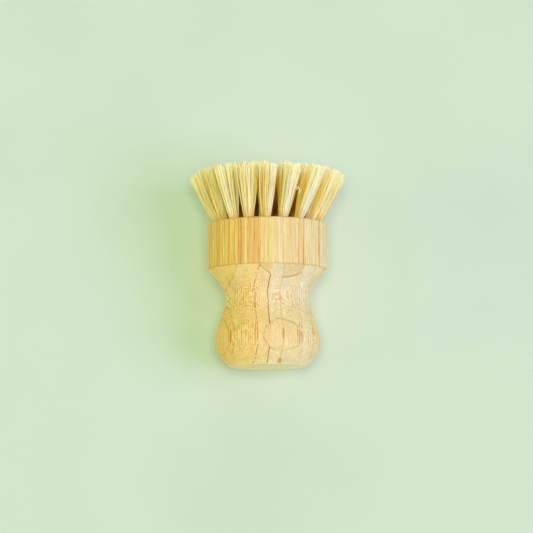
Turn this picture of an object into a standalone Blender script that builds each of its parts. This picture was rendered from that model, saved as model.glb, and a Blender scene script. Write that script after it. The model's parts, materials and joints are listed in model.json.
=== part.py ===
"""Round palm brush for proofing baskets: a turned bamboo handle, a drilled bamboo head and 37 tufts
of plant fibre, each held in its hole by a flat steel anchor.

Metres, +Z up along the brush's axis. The origin is the centre of the handle's flat end, on which the
brush stands with its bristles up.
"""

import math

import bmesh
import bpy
from mathutils import Matrix, Vector
from mathutils.geometry import interpolate_bezier

MM = 0.001

# Gap that is left between two pieces that touch
TOUCH_GAP = 0.25 * MM

# Head block, the drilled disc that holds the tufts
BLOCK_RADIUS = 25.0 * MM
BLOCK_HEIGHT = 19.5 * MM
BLOCK_ROUNDING = 1.4 * MM
BLOCK_CHAMFER = 0.3 * MM

# Handle, a turned knob. A flare is the radius gained, as a share of the height.
END_RADIUS = 16.0 * MM
END_FLARE_SHARE = 1.15
END_TO_BULGE = 10.8 * MM
BULGE_RADIUS = 22.0 * MM
BULGE_TO_WAIST = 17.5 * MM
WAIST_RADIUS = 17.8 * MM
WAIST_TO_SHOULDER = 12.3 * MM
SHOULDER_INSET = 0.25 * MM
SHOULDER_FLARE_SHARE = 1.05

# Tuft holes: rings one pitch apart round a centre hole, each leaning out more than the last
RING_NAMES = ("centre", "inner", "middle", "outer")
RING_COUNTS = (1, 6, 12, 18)
RIM_WIDTH = 4.3 * MM
RING_LEAN = math.radians(6.15)
FIRST_TUFT_TURN = math.radians(-92.3)
HOLE_DEPTH = 9.5 * MM
HOLE_WALL = 1.3 * MM

# Tuft: a bundle folded in two. Its strands fan out from a root that fills the hole.
ROOT_RECESS = 0.8 * MM
ROOT_CHAMFER = 0.8 * MM
BRISTLE_LENGTH = 22.8 * MM
STRAND_GAP = 0.15 * MM
STRAND_TIP_RADIUS = 0.6 * MM
STRAND_EMBED = 0.6 * MM
STRAND_INSET = 0.05 * MM
TIP_GAP = 0.3 * MM
STRAND_SIDES = 3
ROUND_STRAND_COUNT = 9
INSIDE_STRAND_COUNT = 3
INSIDE_SHARE = 0.44

# Anchor: a piece of flat wire driven over the fold, whose ends bite into the wood
ANCHOR_THICKNESS = 0.5 * MM
ANCHOR_HEIGHT = 1.8 * MM
ANCHOR_BITE = 0.3 * MM
FOLD_THICKNESS = 1.3 * MM

# Fluted dowel that joins the handle and the head block
DOWEL_RADIUS = 3.0 * MM
DOWEL_IN_HANDLE = 16.0 * MM
DOWEL_CHAMFER = 0.6 * MM
WOOD_OVER_DOWEL = 1.7 * MM
FLUTE_DEPTH = 0.2 * MM
FLUTES = 12

# Detail of the meshes
TURNED_STEPS = 48
HOLE_SIDES = 10
CURVE_POINTS = 6
ROUNDING_STEPS = 3
CUT_OVERRUN = 1.0 * MM
MERGE_DISTANCE = 0.01 * MM
SMOOTH_BELOW = math.radians(35)
CHAMFER_ABOVE = math.radians(60)

# Sizes that follow from those above
SHOULDER_RADIUS = BLOCK_RADIUS - SHOULDER_INSET
HANDLE_LENGTH = END_TO_BULGE + BULGE_TO_WAIST + WAIST_TO_SHOULDER
BLOCK_BOTTOM = HANDLE_LENGTH + TOUCH_GAP
BLOCK_TOP = BLOCK_BOTTOM + BLOCK_HEIGHT
RING_PITCH = (BLOCK_RADIUS - RIM_WIDTH) / (len(RING_COUNTS) - 1)
PITCH_AT_HOLE_END = RING_PITCH - HOLE_DEPTH * math.sin(RING_LEAN)
PITCH_AT_TIPS = RING_PITCH + BRISTLE_LENGTH * math.sin(RING_LEAN)
HOLE_RADIUS = (PITCH_AT_HOLE_END - HOLE_WALL) / 2
ROOT_RADIUS = HOLE_RADIUS - TOUCH_GAP
ROOT_END = TOUCH_GAP - HOLE_DEPTH
TIP_SPREAD = (PITCH_AT_TIPS - TIP_GAP) / 2 - STRAND_TIP_RADIUS
ANCHOR_WIDTH = 2 * (HOLE_RADIUS + ANCHOR_BITE)
ANCHOR_CENTRE = ROOT_END + FOLD_THICKNESS + ANCHOR_HEIGHT / 2
DOWEL_IN_BLOCK = BLOCK_HEIGHT - HOLE_DEPTH - WOOD_OVER_DOWEL

# Where the strands leave the root, their ring is as thick as the gap between neighbours lets it be
STRAND_REACH = ROOT_RADIUS - STRAND_INSET
NEXT_STRAND_SHARE = math.sin(math.pi / ROUND_STRAND_COUNT)
STRAND_ROOT_RADIUS = (STRAND_REACH * NEXT_STRAND_SHARE - STRAND_GAP / 2) / (1 + NEXT_STRAND_SHARE)
ROOT_SPREAD = STRAND_REACH - STRAND_ROOT_RADIUS

BAMBOO = (0.80, 0.58, 0.27)
HEAD_BAMBOO = (0.78, 0.54, 0.23)
FIBRE = (0.86, 0.73, 0.40)
BEECH = (0.72, 0.52, 0.32)
STEEL = (0.62, 0.62, 0.60)


def clear_scene():
    for obj in list(bpy.data.objects):
        bpy.data.objects.remove(obj, do_unlink=True)


def new_collection(name):
    made = bpy.data.collections.new(name)
    bpy.context.scene.collection.children.link(made)
    return made


def new_material(name, colour, roughness, metallic=0.0):
    made = bpy.data.materials.new(name)
    made.use_nodes = True
    shader = made.node_tree.nodes["Principled BSDF"]
    shader.inputs["Base Color"].default_value = (*colour, 1)
    shader.inputs["Roughness"].default_value = roughness
    shader.inputs["Metallic"].default_value = metallic
    return made


def add_object(name, mesh, collection):
    made = bpy.data.objects.new(name, mesh)
    collection.objects.link(made)
    return made


def add_cutter(name, mesh, collection):
    made = add_object(name, mesh, collection)
    made.hide_render = True
    made.display_type = "WIRE"
    return made


def boolean(obj, operation, other):
    """Cuts obj by another object or by a whole collection, or joins it with them."""
    made = obj.modifiers.new(operation.lower(), "BOOLEAN")
    made.operation = operation
    made.solver = "EXACT"
    if isinstance(other, bpy.types.Collection):
        made.operand_type = "COLLECTION"
        made.collection = other
    else:
        made.object = other


def apply_modifiers(obj):
    """Gives obj the mesh that its modifiers make, smooth where it is round."""
    bpy.context.view_layer.update()
    graph = bpy.context.evaluated_depsgraph_get()
    mesh = bpy.data.meshes.new_from_object(obj.evaluated_get(graph))
    mesh.name = obj.name
    mesh.shade_smooth()
    mesh.set_sharp_from_angle(angle=SMOOTH_BELOW)
    obj.modifiers.clear()
    obj.data = mesh
    return mesh


def mesh_of(shape, name):
    mesh = bpy.data.meshes.new(name)
    shape.to_mesh(mesh)
    shape.free()
    return mesh


def profile_mesh(name, profile):
    """An open outline in the XZ plane, of (radius, height) points from top to bottom."""
    shape = bmesh.new()
    points = [shape.verts.new((radius, 0, height)) for radius, height in profile]
    for upper, lower in zip(points, points[1:]):
        shape.edges.new((upper, lower))
    return mesh_of(shape, name)


def turn(obj, steps):
    screw = obj.modifiers.new("turn", "SCREW")
    screw.axis = "Z"
    screw.steps = steps
    screw.render_steps = steps
    screw.use_merge_vertices = True
    screw.merge_threshold = MERGE_DISTANCE


def cylinder_mesh(name, radius, bottom, top, sides):
    shape = bmesh.new()
    bmesh.ops.create_cone(
        shape,
        cap_ends=True,
        segments=sides,
        radius1=radius,
        radius2=radius,
        depth=top - bottom,
        matrix=Matrix.Translation((0, 0, (top + bottom) / 2)),
    )
    return mesh_of(shape, name)


def anchor_mesh(name, gap=0):
    """The anchor standing across its hole or, with a gap, the slot that it needs."""
    size = (ANCHOR_THICKNESS + 2 * gap, ANCHOR_WIDTH + 2 * gap, ANCHOR_HEIGHT + 2 * gap)
    place = Matrix.Translation((0, 0, ANCHOR_CENTRE)) @ Matrix.Diagonal((*size, 1))
    shape = bmesh.new()
    bmesh.ops.create_cube(shape, size=1, matrix=place)
    return mesh_of(shape, name)


def handle_profile():
    """Smooth curves through the end, the bulge, the waist and the shoulder."""
    height = 0
    stations = []
    for rise, radius, flare in (
        (0, END_RADIUS, END_FLARE_SHARE),
        (END_TO_BULGE, BULGE_RADIUS, 0),
        (BULGE_TO_WAIST, WAIST_RADIUS, 0),
        (WAIST_TO_SHOULDER, SHOULDER_RADIUS, SHOULDER_FLARE_SHARE),
    ):
        height += rise
        stations.append((Vector((radius, height)), Vector((flare, 1))))
    upwards = [Vector((0, 0))]
    for (start, leaving), (end, arriving) in zip(stations, stations[1:]):
        third = (end.y - start.y) / 3
        curve = interpolate_bezier(
            start, start + leaving * third, end - arriving * third, end, CURVE_POINTS
        )
        upwards += curve[:-1]
    upwards += [stations[-1][0], Vector((0, height))]
    return [point.xy for point in reversed(upwards)]


def block_profile():
    """The head block's outline above its own bottom face."""
    centre = Vector((BLOCK_RADIUS - BLOCK_ROUNDING, BLOCK_HEIGHT - BLOCK_ROUNDING))
    turns = [math.pi / 2 * step / ROUNDING_STEPS for step in range(ROUNDING_STEPS + 1)]
    return [
        (0, BLOCK_HEIGHT),
        *(centre + BLOCK_ROUNDING * Vector((math.sin(angle), math.cos(angle))) for angle in turns),
        (BLOCK_RADIUS, BLOCK_CHAMFER),
        (BLOCK_RADIUS - BLOCK_CHAMFER, 0),
        (0, 0),
    ]


def root_profile():
    """The root in its hole: the folded bundle, drawn in at the fold."""
    return [
        (0, -ROOT_RECESS),
        (ROOT_RADIUS, -ROOT_RECESS),
        (ROOT_RADIUS, ROOT_END + ROOT_CHAMFER),
        (ROOT_RADIUS - ROOT_CHAMFER, ROOT_END),
        (0, ROOT_END),
    ]


def seats_of_ring(ring_index):
    """Where a ring's tufts sit: a seat's own +Z runs out of its leaning hole from the block's face."""
    count = RING_COUNTS[ring_index]
    reach = Matrix.Translation((RING_PITCH * ring_index, 0, BLOCK_TOP))
    lean = Matrix.Rotation(RING_LEAN * ring_index, 4, "Y")
    for index in range(count):
        angle = FIRST_TUFT_TURN + 2 * math.pi * index / count
        yield index + 1, Matrix.Rotation(angle, 4, "Z") @ reach @ lean


def strands_mesh(name):
    """Straight strands that fan out from the root, none of them touching another."""
    shape = bmesh.new()
    for share, count in ((1, ROUND_STRAND_COUNT), (INSIDE_SHARE, INSIDE_STRAND_COUNT)):
        for index in range(count):
            spin = Matrix.Rotation(2 * math.pi * index / count, 4, "Z")
            start = spin @ Vector((share * ROOT_SPREAD, 0, -ROOT_RECESS))
            tip = spin @ Vector((share * TIP_SPREAD, 0, BRISTLE_LENGTH))
            start -= (tip - start).normalized() * STRAND_EMBED
            tilt = Vector((0, 0, 1)).rotation_difference(tip - start).to_matrix().to_4x4()
            bmesh.ops.create_cone(
                shape,
                cap_ends=True,
                segments=STRAND_SIDES,
                radius1=STRAND_ROOT_RADIUS,
                radius2=STRAND_TIP_RADIUS,
                depth=(tip - start).length,
                matrix=Matrix.Translation((start + tip) / 2) @ tilt @ spin,
            )
    return mesh_of(shape, name)


def tuft_mesh(name, anchor_joined, cutters):
    """One body of a root and its strands, with the anchor joined to it or a slot in its place."""
    root = add_cutter(name, profile_mesh(name, root_profile()), cutters)
    turn(root, HOLE_SIDES)
    strands = add_cutter(name + "_strands", strands_mesh(name + "_strands"), cutters)
    boolean(root, "UNION", strands)
    anchor = anchor_mesh(name + "_anchor", 0 if anchor_joined else TOUCH_GAP)
    anchor = add_cutter(name + "_anchor", anchor, cutters)
    boolean(root, "UNION" if anchor_joined else "DIFFERENCE", anchor)
    return apply_modifiers(root)


def make_handle(parts, cutters):
    handle = add_object("handle", profile_mesh("handle", handle_profile()), parts)
    turn(handle, TURNED_STEPS)
    bore = cylinder_mesh(
        "handle_bore",
        DOWEL_RADIUS + TOUCH_GAP,
        HANDLE_LENGTH - DOWEL_IN_HANDLE - TOUCH_GAP,
        HANDLE_LENGTH + CUT_OVERRUN,
        2 * FLUTES,
    )
    boolean(handle, "DIFFERENCE", add_cutter("handle_bore", bore, cutters))
    apply_modifiers(handle)
    return handle


def make_head_block(parts, cutters):
    block = add_object("head_block", profile_mesh("head_block", block_profile()), parts)
    block.location.z = BLOCK_BOTTOM
    turn(block, TURNED_STEPS)
    bore = cylinder_mesh(
        "block_bore",
        DOWEL_RADIUS + TOUCH_GAP,
        BLOCK_BOTTOM - CUT_OVERRUN,
        BLOCK_BOTTOM + DOWEL_IN_BLOCK,
        2 * FLUTES,
    )
    boolean(block, "DIFFERENCE", add_cutter("block_bore", bore, cutters))
    boolean(block, "DIFFERENCE", make_tuft_holes(cutters))
    apply_modifiers(block)
    return block


def make_tuft_holes(cutters):
    """A collection of cutters: each a blind hole with pockets for its anchor's two ends."""
    bore = cylinder_mesh("tuft_bore", HOLE_RADIUS, -HOLE_DEPTH, CUT_OVERRUN, HOLE_SIDES)
    pocketed = add_cutter("tuft_bore", bore, cutters)
    pockets = add_cutter("anchor_pockets", anchor_mesh("anchor_pockets", TOUCH_GAP), cutters)
    boolean(pocketed, "UNION", pockets)
    hole = apply_modifiers(pocketed)
    holes = new_collection("tuft_holes")
    for ring_index, ring in enumerate(RING_NAMES):
        for number, place in seats_of_ring(ring_index):
            add_cutter(f"hole_{ring}_{number:02d}", hole, holes).matrix_world = place
    return holes


def make_dowel(parts):
    """A chamfered dowel, whose flutes are every second corner drawn in."""
    length = DOWEL_IN_HANDLE + DOWEL_IN_BLOCK
    mesh = cylinder_mesh("joining_dowel", DOWEL_RADIUS, 0, length, 2 * FLUTES)
    for vertex in mesh.vertices:
        corner = round(math.atan2(vertex.co.y, vertex.co.x) / math.pi * FLUTES)
        if corner % 2:
            vertex.co.xy *= (DOWEL_RADIUS - FLUTE_DEPTH) / DOWEL_RADIUS
    dowel = add_object("joining_dowel", mesh, parts)
    dowel.location.z = HANDLE_LENGTH - DOWEL_IN_HANDLE
    chamfer = dowel.modifiers.new("chamfer", "BEVEL")
    chamfer.width = DOWEL_CHAMFER
    chamfer.segments = 1
    chamfer.limit_method = "ANGLE"
    chamfer.angle_limit = CHAMFER_ABOVE
    return dowel


def make_tufts(parts, cutters):
    """Every tuft, and the outer ring's anchors. The anchors further in are joined to their tufts,
    which keeps the brush within sixty pieces."""
    slotted = tuft_mesh("slotted_tuft", False, cutters)
    anchored = tuft_mesh("anchored_tuft", True, cutters)
    anchor = anchor_mesh("anchor")
    tufts, anchors = [], []
    for ring_index, ring in enumerate(RING_NAMES):
        is_outer = ring_index == len(RING_NAMES) - 1
        for number, place in seats_of_ring(ring_index):
            mesh = slotted if is_outer else anchored
            tufts.append(add_object(f"tuft_{ring}_{number:02d}", mesh, parts))
            tufts[-1].matrix_world = place
            if is_outer:
                anchors.append(add_object(f"anchor_{ring}_{number:02d}", anchor, parts))
                anchors[-1].matrix_world = place
    return tufts, anchors


def dress(objects, material):
    for mesh in {obj.data for obj in objects}:
        mesh.materials.append(material)


def main():
    clear_scene()
    parts = new_collection("banneton_brush")
    cutters = new_collection("cutters")
    handle = make_handle(parts, cutters)
    block = make_head_block(parts, cutters)
    dowel = make_dowel(parts)
    tufts, anchors = make_tufts(parts, cutters)
    dress([handle], new_material("bamboo", BAMBOO, 0.5))
    dress([block], new_material("head_bamboo", HEAD_BAMBOO, 0.55))
    dress([dowel], new_material("beech", BEECH, 0.6))
    dress(tufts, new_material("plant_fibre", FIBRE, 0.75))
    dress(anchors, new_material("anchor_steel", STEEL, 0.35, metallic=1.0))
    brush = add_object("banneton_brush", None, parts)
    for piece in (handle, block, dowel, *tufts, *anchors):
        piece.parent = brush


main()
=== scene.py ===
"""Looks of the palm brush: turned bamboo, loose plant fibres, the table that it lies on and soft light.

Metres, +Z up along the brush's axis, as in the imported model. In the materials lengths are millimetres.
"""

import json
import math

import bpy
import numpy as np
from mathutils import Matrix, Vector

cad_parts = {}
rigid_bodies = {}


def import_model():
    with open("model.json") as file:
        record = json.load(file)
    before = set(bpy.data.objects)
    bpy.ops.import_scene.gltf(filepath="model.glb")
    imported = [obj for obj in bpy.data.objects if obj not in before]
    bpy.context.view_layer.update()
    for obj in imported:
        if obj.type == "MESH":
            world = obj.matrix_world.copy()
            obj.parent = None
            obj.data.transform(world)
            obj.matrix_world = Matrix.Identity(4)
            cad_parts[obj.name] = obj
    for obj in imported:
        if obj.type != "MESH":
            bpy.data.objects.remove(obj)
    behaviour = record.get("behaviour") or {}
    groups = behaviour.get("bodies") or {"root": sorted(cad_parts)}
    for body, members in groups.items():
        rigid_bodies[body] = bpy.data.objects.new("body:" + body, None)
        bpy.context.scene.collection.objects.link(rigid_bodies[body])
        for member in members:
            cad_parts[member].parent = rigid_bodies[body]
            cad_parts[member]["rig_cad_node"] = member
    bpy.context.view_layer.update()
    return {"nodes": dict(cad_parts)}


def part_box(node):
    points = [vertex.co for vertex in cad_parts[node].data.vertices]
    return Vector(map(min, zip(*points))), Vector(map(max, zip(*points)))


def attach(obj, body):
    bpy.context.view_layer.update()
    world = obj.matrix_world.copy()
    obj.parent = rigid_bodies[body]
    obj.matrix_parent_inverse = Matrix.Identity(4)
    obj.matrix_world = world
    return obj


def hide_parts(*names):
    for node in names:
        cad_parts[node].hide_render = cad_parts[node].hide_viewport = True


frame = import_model()

MM = 0.001

# Tuft holes, placed as in the part
RING_NAMES = ("centre", "inner", "middle", "outer")
RING_COUNTS = (1, 6, 12, 18)
RIM_WIDTH = 4.3 * MM
RING_LEAN = math.radians(6.15)
FIRST_TUFT_TURN = math.radians(-92.3)
HOLE_DEPTH = 9.5 * MM
HOLE_WALL = 1.3 * MM
TOUCH_GAP = 0.25 * MM

# Folded root of a tuft and the anchor across it, as in the part
ROOT_CHAMFER = 0.8 * MM
ANCHOR_THICKNESS = 0.5 * MM
ANCHOR_HEIGHT = 1.8 * MM
ANCHOR_BITE = 0.3 * MM
FOLD_THICKNESS = 1.3 * MM
ROOT_TOP = -2.4 * MM
ROOT_SIDES = 20

# Head block's edges
BLOCK_ROUNDING = 1.4 * MM
BLOCK_CHAMFER = 0.3 * MM
ROUNDING_STEPS = 10
HOLE_SIDES = 24

# Handle and joint
DOWEL_GAP = 0.25 * MM
FINE_POINTS = 5
TURNED_STEPS = 160
GLUE_INSET = 0.15 * MM
CUT_OVERRUN = 1.0 * MM
MERGE_DISTANCE = 0.002 * MM
SMOOTH_BELOW = math.radians(35)

# Fibres of a tuft
BRISTLE_LENGTH = 22.8 * MM
FIBRES = 95
FIBRE_SIDES = 5
FIBRE_POINTS = 9
FIBRE_RADIUS = 0.18 * MM
FIBRE_TIP_SHARE = 0.62
FIBRE_THICKNESS_SHARES = (0.75, 1.3)
SMOOTH_FIBRES_BELOW = math.radians(70)
# Their feet: below the head's face, and inside the hole's wall
FIBRE_SUNK = -3.2 * MM
OUTER_INSET = 0.4 * MM
# How far their tips fan out, how much farther outwards than sideways, and how straight they go there
TIP_REACH = 4.85 * MM
OUTWARD_SHARE = 1.16
SPREAD_POWER = 0.92
# How uneven their lengths, tips and bends are
TIP_UNEVEN = 0.5 * MM
TIP_LONGEST = 0.6 * MM
TIP_JITTER = 0.25 * MM
BOW = 0.24 * MM
# Clumps that they gather in, and strays that lean out of them
CLUMPS = 14
CLUMP_SHARE = 0.45
CLUMP_UNEVEN = 0.45 * MM
STRAY_SHARE = 0.04
STRAY_REACH = 1.1 * MM
# How much paler they are: all of them, those on one side of their tuft, and the tufts on the brush's
# right, the last two being painted light; and how much darker at the edges of their tuft, which is
# painted shade
PALER_ALL = 0.1
PAINTED_LIGHT_SIDE = 0.4
PAINTED_LIGHT_RIGHT = 0.12
PAINTED_SHADE_EDGES = 0.45
# The turn from one fibre to the next that spreads them evenly over a disc
GOLDEN_TURN = math.pi * (3 - math.sqrt(5))
SEED = 7
# Each outer tuft's own way: how far its tips lean sideways, counterclockwise from above, and outwards,
# in millimetres, and how much paler its fibres are: partly the tuft's own tone. For the sixteenth, the
# darkest, it is painted shade, as that tuft lies in shade on the brush's left. The other rings' tufts
# have no way of their own
OUTER_WAYS = (
    (1.2, 0.0, 0.0),
    (1.1, 0.0, 0.0),
    (2.8, 0.3, 0.03),
    (3.1, 0.6, 0.02),
    (1.4, -0.3, 0.12),
    (0.3, 0.0, -0.1),
    (0.9, -0.4, 0.05),
    (0.2, 0.2, -0.08),
    (1.1, 0.0, 0.04),
    (0.4, -0.3, 0.0),
    (-0.3, 0.1, -0.1),
    (0.8, -0.2, 0.06),
    (0.2, 0.2, 0.0),
    (1.0, 0.5, -0.1),
    (0.4, -1.6, 0.02),
    (0.2, -0.6, -0.28),
    (1.1, 0.0, 0.0),
    (2.2, 0.0, -0.03),
)

# A loose fibre that curls over the gap between two tufts in front
CURL_CENTRE = (12.3 * MM, -28.4 * MM, 71.3 * MM)
CURL_RADIUS = 1.15 * MM
CURL_RISE = 2.6 * MM
CURL_DEPTH = 4.0 * MM
CURL_TURNS = 1.2
CURL_START = math.radians(-60)
CURL_POINTS = 26
CURL_THICKNESS = 0.15 * MM

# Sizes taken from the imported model, and what follows from them as in the part
head_low, head_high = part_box("head_block")
handle_low, handle_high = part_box("handle")
dowel_low, dowel_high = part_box("joining_dowel")
BLOCK_RADIUS = head_high.x
BLOCK_TOP = head_high.z
RING_PITCH = (BLOCK_RADIUS - RIM_WIDTH) / (len(RING_COUNTS) - 1)
HOLE_RADIUS = (RING_PITCH - HOLE_DEPTH * math.sin(RING_LEAN) - HOLE_WALL) / 2
ROOT_RADIUS = HOLE_RADIUS - TOUCH_GAP
ROOT_END = TOUCH_GAP - HOLE_DEPTH
ANCHOR_WIDTH = 2 * (HOLE_RADIUS + ANCHOR_BITE)
ANCHOR_CENTRE = ROOT_END + FOLD_THICKNESS + ANCHOR_HEIGHT / 2
BORE_RADIUS = dowel_high.x + DOWEL_GAP


def srgb(red, green, blue):
    """A screen colour of 0 to 255 as the linear colour that a shader takes."""
    shares = (red / 255, green / 255, blue / 255)
    return (*((s / 12.92 if s < 0.04045 else ((s + 0.055) / 1.055) ** 2.4) for s in shares), 1)


def shades(tones):
    """The stops of a ramp, from (position, screen colour)."""
    return [(position, srgb(*colour)) for position, colour in tones]


# Meshes


def add_object(name, mesh):
    made = bpy.data.objects.new(name, mesh)
    bpy.context.scene.collection.objects.link(made)
    return made


def mesh_from(name, points, faces=(), edges=()):
    mesh = bpy.data.meshes.new(name)
    mesh.from_pydata([tuple(point) for point in points], edges, faces)
    mesh.update()
    return mesh


def apply_modifiers(obj):
    """Gives obj the mesh that its modifiers make, smooth where it is round."""
    bpy.context.view_layer.update()
    graph = bpy.context.evaluated_depsgraph_get()
    mesh = bpy.data.meshes.new_from_object(obj.evaluated_get(graph))
    mesh.name = obj.name
    mesh.shade_smooth()
    mesh.set_sharp_from_angle(angle=SMOOTH_BELOW)
    obj.modifiers.clear()
    obj.data = mesh
    return obj


def turned(name, profile, steps):
    """A body of revolution from (radius, height) points that run from the top to the bottom."""
    edges = [(index, index + 1) for index in range(len(profile) - 1)]
    points = [(radius, 0, height) for radius, height in profile]
    obj = add_object(name, mesh_from(name, points, edges=edges))
    screw = obj.modifiers.new("turn", "SCREW")
    screw.axis = "Z"
    screw.steps = steps
    screw.render_steps = steps
    screw.use_merge_vertices = True
    screw.merge_threshold = MERGE_DISTANCE
    return obj


def box_mesh(name, size, centre):
    corners = [(x, y, z) for x in (-0.5, 0.5) for y in (-0.5, 0.5) for z in (-0.5, 0.5)]
    points = [Vector(centre) + Vector(c) * Vector(size) for c in corners]
    faces = [(0, 1, 3, 2), (4, 6, 7, 5), (0, 4, 5, 1), (2, 3, 7, 6), (0, 2, 6, 4), (1, 5, 7, 3)]
    return mesh_from(name, points, faces)


def boolean(obj, operation, other):
    made = obj.modifiers.new(operation.lower(), "BOOLEAN")
    made.operation = operation
    made.solver = "EXACT"
    if isinstance(other, bpy.types.Collection):
        made.operand_type = "COLLECTION"
        made.collection = other
    else:
        made.object = other


def remove(obj):
    bpy.data.objects.remove(obj, do_unlink=True)


def outline_of(node):
    """(radius, height) rings of a turned CAD node's outside, upwards, without its narrow bore."""
    rings = {}
    for vertex in frame["nodes"][node].data.vertices:
        height = round(vertex.co.z, 5)
        rings[height] = max(rings.get(height, 0), vertex.co.xy.length)
    return [(radius, height) for height, radius in sorted(rings.items()) if radius > 2 * BORE_RADIUS]


def smooth_outline(rings, count):
    """A finer outline: smooth cubic curves from each ring to the next."""
    ends = [rings[0], *rings, rings[-1]]
    fine = []
    for before, start, end, after in zip(ends, rings, rings[1:], ends[3:] + [rings[-1]]):
        before, start, end, after = map(Vector, (before, start, end, after))
        for step in range(count):
            t = step / count
            leaving = (end - before) / 2
            arriving = (after - start) / 2
            fine.append(
                (2 * t**3 - 3 * t**2 + 1) * start
                + (t**3 - 2 * t**2 + t) * leaving
                + (3 * t**2 - 2 * t**3) * end
                + (t**3 - t**2) * arriving
            )
    return [*fine, Vector(rings[-1])]


# Pieces


def make_handle():
    """The turned knob with the bore for its dowel."""
    outline = smooth_outline(outline_of("handle"), FINE_POINTS)
    bottom = dowel_low.z - DOWEL_GAP
    profile = [(0, bottom), (BORE_RADIUS, bottom), (BORE_RADIUS, handle_high.z)]
    profile += [tuple(point) for point in reversed(outline)]
    profile += [(0, handle_low.z)]
    return apply_modifiers(turned("turned_handle", profile, TURNED_STEPS))


def seats_of_ring(ring_index):
    """Where a ring's tufts sit: a seat's own +Z runs out of its leaning hole from the block's face."""
    count = RING_COUNTS[ring_index]
    reach = Matrix.Translation((RING_PITCH * ring_index, 0, BLOCK_TOP))
    lean = Matrix.Rotation(RING_LEAN * ring_index, 4, "Y")
    for index in range(count):
        angle = FIRST_TUFT_TURN + 2 * math.pi * index / count
        yield index + 1, Matrix.Rotation(angle, 4, "Z") @ reach @ lean


def anchor_box(name, gap=0):
    size = (ANCHOR_THICKNESS + 2 * gap, ANCHOR_WIDTH + 2 * gap, ANCHOR_HEIGHT + 2 * gap)
    return box_mesh(name, size, (0, 0, ANCHOR_CENTRE))


def make_head():
    """The disc with its softly rounded top edge and its leaning blind holes."""
    corner = Vector((BLOCK_RADIUS - BLOCK_ROUNDING, BLOCK_TOP - BLOCK_ROUNDING))
    turns = [math.pi / 2 * step / ROUNDING_STEPS for step in range(ROUNDING_STEPS + 1)]
    rounding = [corner + BLOCK_ROUNDING * Vector((math.sin(turn), math.cos(turn))) for turn in turns]
    profile = [(0, BLOCK_TOP), *(tuple(point) for point in rounding)]
    profile += [
        (BLOCK_RADIUS, head_low.z + BLOCK_CHAMFER),
        (BLOCK_RADIUS - BLOCK_CHAMFER, head_low.z),
        (BORE_RADIUS, head_low.z),
        (BORE_RADIUS, dowel_high.z + DOWEL_GAP),
        (0, dowel_high.z + DOWEL_GAP),
    ]
    head = turned("drilled_head", profile, TURNED_STEPS)
    bore = turned(
        "bore",
        [(0, CUT_OVERRUN), (HOLE_RADIUS, CUT_OVERRUN), (HOLE_RADIUS, -HOLE_DEPTH), (0, -HOLE_DEPTH)],
        HOLE_SIDES,
    )
    pockets = add_object("pockets", anchor_box("pockets", TOUCH_GAP))
    boolean(bore, "UNION", pockets)
    hole = apply_modifiers(bore).data
    holes = bpy.data.collections.new("holes")
    bpy.context.scene.collection.children.link(holes)
    for ring_index in range(len(RING_COUNTS)):
        for _, seat in seats_of_ring(ring_index):
            cutter = bpy.data.objects.new("hole", hole)
            holes.objects.link(cutter)
            cutter.matrix_world = seat
    boolean(head, "DIFFERENCE", holes)
    apply_modifiers(head)
    for scrap in (*holes.objects, bore, pockets):
        remove(scrap)
    bpy.data.collections.remove(holes)
    return head


def make_glue_joint():
    """The thin layer of glue that fills the gap between the handle and the head."""
    radius = handle_high.x - GLUE_INSET
    profile = [
        (radius, head_low.z),
        (radius, handle_high.z),
        (BORE_RADIUS, handle_high.z),
        (BORE_RADIUS, head_low.z),
        (radius, head_low.z),
    ]
    return apply_modifiers(turned("glue_joint", profile, TURNED_STEPS))


def make_root():
    """The folded bundle in its hole, with the slot of its anchor: its points and faces."""
    profile = [
        (0, ROOT_TOP),
        (ROOT_RADIUS, ROOT_TOP),
        (ROOT_RADIUS, ROOT_END + ROOT_CHAMFER),
        (ROOT_RADIUS - ROOT_CHAMFER, ROOT_END),
        (0, ROOT_END),
    ]
    root = turned("root", profile, ROOT_SIDES)
    slot = add_object("slot", anchor_box("slot", TOUCH_GAP))
    boolean(root, "DIFFERENCE", slot)
    apply_modifiers(root)
    points = np.array([vertex.co for vertex in root.data.vertices])
    faces = [tuple(face.vertices) for face in root.data.polygons]
    remove(slot)
    remove(root)
    return points, faces


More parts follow.
